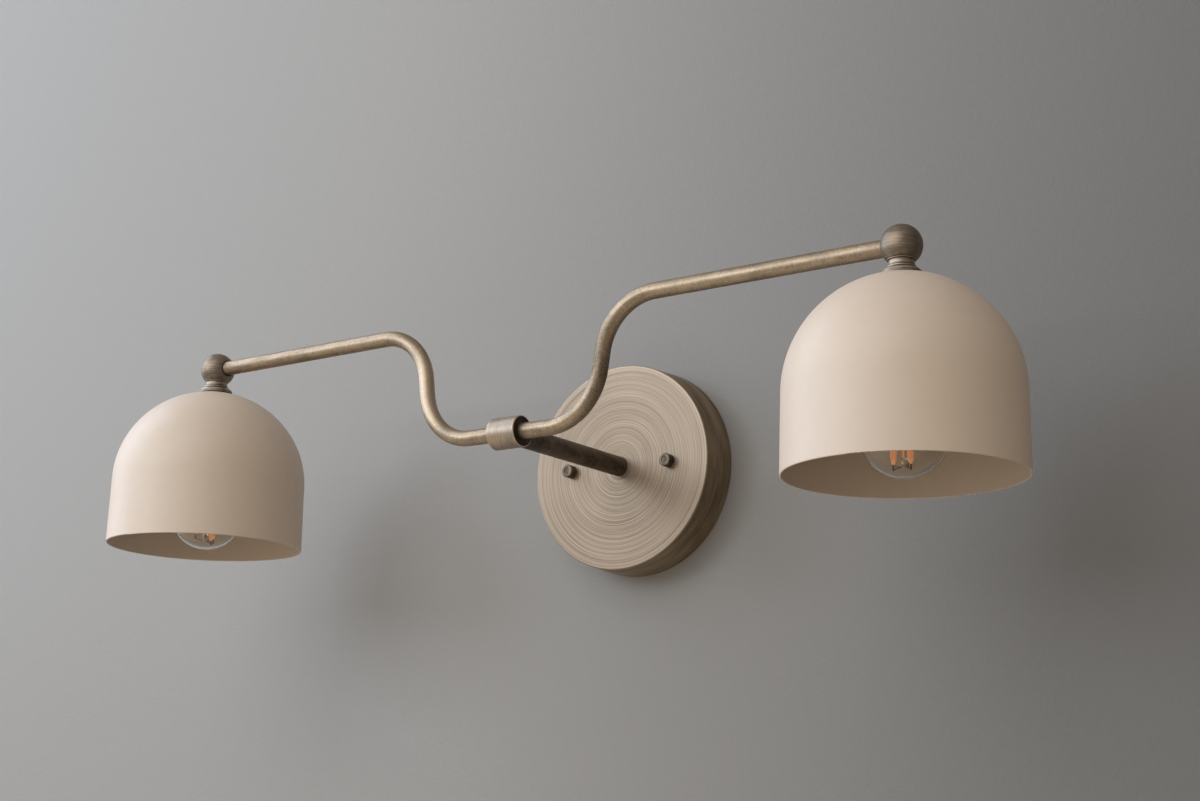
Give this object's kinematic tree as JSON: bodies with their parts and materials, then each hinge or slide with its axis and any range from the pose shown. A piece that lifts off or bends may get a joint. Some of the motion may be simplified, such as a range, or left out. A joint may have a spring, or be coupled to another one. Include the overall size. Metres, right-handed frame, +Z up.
{
  "type": "double arm wall sconce",
  "caption": "Wall light with a round canopy, a post and a hub that carries bent tube arms, each ending in a ball joint that tilts a domed metal shade over a globe bulb.",
  "frame": {"origin": "on the wall plane, at the centre of the canopy's open back", "axes": "+X along the wall to the right seen from the room, +Y into the wall, +Z up; the shades hang down"},
  "size_m": [0.637, 0.2035, 0.1507],
  "materials": {
    "aged_brass": "satin",
    "shade_enamel": "matte",
    "zinc_plated_steel": "satin",
    "green_screw": "gloss",
    "plated_socket_cap": "satin",
    "porcelain": "gloss",
    "bright_brass": "satin",
    "clear_glass": "gloss",
    "bulb_cap_metal": "satin",
    "black_glass": "gloss",
    "solder_contact": "satin",
    "amber_filament": "matte",
    "lead_wire": "satin"
  },
  "bodies": {
    "wall_unit": {"mounting_plate": "zinc_plated_steel", "canopy": "aged_brass", "canopy_studs": "zinc_plated_steel", "stud_lock_nuts": "zinc_plated_steel", "cap_nuts": "aged_brass", "ground_screw": "green_screw", "post_nipple": "zinc_plated_steel", "post_washer": "zinc_plated_steel", "post_lock_nut": "zinc_plated_steel", "post": "aged_brass", "hub": "aged_brass", "arm_left": "aged_brass", "arm_right": "aged_brass", "swivel_washer_left": "zinc_plated_steel", "swivel_washer_right": "zinc_plated_steel", "swivel_nut_left": "zinc_plated_steel", "swivel_nut_right": "zinc_plated_steel"},
    "head_left": {"ball_joint_left": "aged_brass", "shade_nipple_left": "zinc_plated_steel", "shade_left": "shade_enamel", "shade_washer_left": "zinc_plated_steel", "shade_nut_left": "zinc_plated_steel", "socket_cap_left": "plated_socket_cap", "socket_body_left": "porcelain", "socket_terminals_left": "bright_brass", "screw_shell_left": "bright_brass", "contact_tongue_left": "bright_brass"},
    "head_right": {"ball_joint_right": "aged_brass", "shade_nipple_right": "zinc_plated_steel", "shade_right": "shade_enamel", "shade_washer_right": "zinc_plated_steel", "shade_nut_right": "zinc_plated_steel", "socket_cap_right": "plated_socket_cap", "socket_body_right": "porcelain", "socket_terminals_right": "bright_brass", "screw_shell_right": "bright_brass", "contact_tongue_right": "bright_brass"},
    "bulb_left": {"bulb_glass_left": "clear_glass", "bulb_cap_left": "bulb_cap_metal", "bulb_insulator_left": "black_glass", "bulb_contact_left": "solder_contact", "bulb_stem_left": "clear_glass", "bulb_filaments_left": "amber_filament", "bulb_leads_left": "lead_wire"},
    "bulb_right": {"bulb_glass_right": "clear_glass", "bulb_cap_right": "bulb_cap_metal", "bulb_insulator_right": "black_glass", "bulb_contact_right": "solder_contact", "bulb_stem_right": "clear_glass", "bulb_filaments_right": "amber_filament", "bulb_leads_right": "lead_wire"}
  },
  "joints": [
    {"name": "head_left_tilt", "type": "hinge", "parent": "wall_unit", "child": "head_left", "pos_m": [-0.2555, -0.1405, 0.0715], "axis": [1, 0, 0], "range_deg": [-90, 90]},
    {"name": "bulb_left_removal", "type": "slide", "parent": "head_left", "child": "bulb_left", "axis": [0, 0, -1], "range_m": [0, 0.085]},
    {"name": "head_right_tilt", "type": "hinge", "parent": "wall_unit", "child": "head_right", "pos_m": [0.2555, -0.1405, 0.0715], "axis": [1, 0, 0], "range_deg": [-90, 90]},
    {"name": "bulb_right_removal", "type": "slide", "parent": "head_right", "child": "bulb_right", "axis": [0, 0, -1], "range_m": [0, 0.085]}
  ]
}
